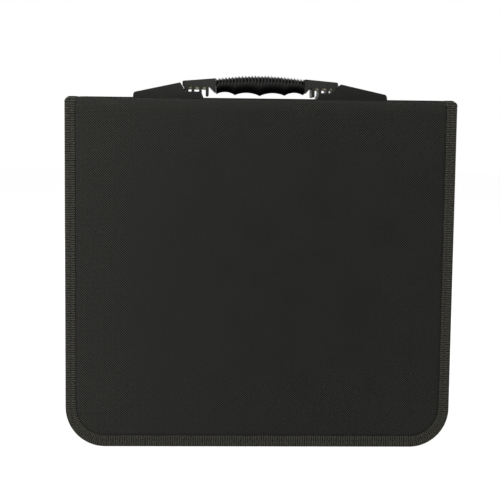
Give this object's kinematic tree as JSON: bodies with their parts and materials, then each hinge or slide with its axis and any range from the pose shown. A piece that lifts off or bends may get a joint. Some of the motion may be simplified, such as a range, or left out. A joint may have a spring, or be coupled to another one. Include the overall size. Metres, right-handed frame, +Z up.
{
  "type": "cd storage case",
  "caption": "Zipped binder case for compact discs: two padded cloth covers on a spine with a moulded handle outside and a ring binder with disc sleeves inside.",
  "frame": {"origin": "centre of the bounding box's bottom face: on the floor, under the middle of the closed case as it stands on its zip edge", "axes": "+X along the spine to the right as the front cover is seen, +Y from the front cover to the back cover, +Z up to the spine and its handle"},
  "size_m": [0.345, 0.1, 0.3331],
  "materials": {
    "cloth": "black coated polyester oxford cloth with a fine diagonal weave",
    "binding_tape": "black ribbed grosgrain binding tape, sewn",
    "zip_tape": "black woven zip tape",
    "zip_coil": "black nylon coil",
    "moulded_plastic": "black moulded plastic, satin",
    "grip_rubber": "black soft moulded grip",
    "plated_steel": "bright nickel plate",
    "black_metal": "black lacquered metal",
    "sleeve_film": "clear film pockets on white non-woven leaves"
  },
  "bodies": {
    "spine": {"spine_panel": "cloth", "spine_binding_left": "binding_tape", "spine_binding_right": "binding_tape", "front_hinge_fold": "cloth", "back_hinge_fold": "cloth", "handle_anchor_left": "moulded_plastic", "handle_anchor_right": "moulded_plastic", "handle_strap": "moulded_plastic", "handle_grip": "grip_rubber", "anchor_rivet_left_front": "black_metal", "anchor_rivet_left_back": "black_metal", "anchor_rivet_right_front": "black_metal", "anchor_rivet_right_back": "black_metal", "ring_base": "plated_steel", "ring_base_rivet_left": "plated_steel", "ring_base_rivet_right": "plated_steel", "sleeve_pages": "sleeve_film"},
    "front_cover": {"front_panel": "cloth", "front_binding": "binding_tape", "front_gusset": "cloth", "front_zip_tape": "zip_tape", "front_zip_coil": "zip_coil"},
    "back_cover": {"back_panel": "cloth", "back_binding": "binding_tape", "back_gusset": "cloth", "back_zip_tape": "zip_tape", "back_zip_coil": "zip_coil"},
    "rings_front": {"blade_front": "plated_steel", "ring_front_left": "plated_steel", "ring_front_centre": "plated_steel", "ring_front_right": "plated_steel"},
    "rings_back": {"blade_back": "plated_steel", "ring_back_left": "plated_steel", "ring_back_centre": "plated_steel", "ring_back_right": "plated_steel"},
    "lever_left": {"ring_lever_left": "plated_steel"},
    "lever_right": {"ring_lever_right": "plated_steel"},
    "slider": {"zip_slider": "black_metal"},
    "pull": {"zip_pull": "black_metal"}
  },
  "joints": [
    {"name": "front_cover_fold", "type": "hinge", "parent": "spine", "child": "front_cover", "pos_m": [0, -0.0475, 0.3095], "axis": [-1, 0, 0], "range_deg": [0, 180]},
    {"name": "back_cover_fold", "type": "hinge", "parent": "spine", "child": "back_cover", "pos_m": [0, 0.0475, 0.3095], "axis": [1, 0, 0], "range_deg": [0, 180]},
    {"name": "rings_front_swing", "type": "hinge", "parent": "spine", "child": "rings_front", "pos_m": [0, -0.01, 0.3044], "axis": [-1, 0, 0], "range_deg": [0, 12]},
    {"name": "rings_back_swing", "type": "hinge", "parent": "spine", "child": "rings_back", "pos_m": [0, 0.01, 0.3044], "axis": [1, 0, 0], "range_deg": [0, 12]},
    {"name": "lever_left_turn", "type": "hinge", "parent": "spine", "child": "lever_left", "pos_m": [-0.127, 0, 0.3041], "axis": [0, 1, 0], "range_deg": [0, 36]},
    {"name": "lever_right_turn", "type": "hinge", "parent": "spine", "child": "lever_right", "pos_m": [0.127, 0, 0.3041], "axis": [0, -1, 0], "range_deg": [0, 36]},
    {"name": "zip_slide", "type": "slide", "parent": "back_cover", "child": "slider", "axis": [0, 0, -1], "range_m": [0, 0.25]},
    {"name": "zip_pull_swing", "type": "hinge", "parent": "slider", "child": "pull", "pos_m": [0.1706, 0, 0.2965], "axis": [0, -1, 0], "range_deg": [0, 150]}
  ],
  "couplings": [
    {"joint": "rings_front_swing", "follows": "lever_left_turn", "ratio": 0.33333},
    {"joint": "rings_back_swing", "follows": "lever_left_turn", "ratio": 0.33333},
    {"joint": "lever_right_turn", "follows": "lever_left_turn", "ratio": 1}
  ]
}
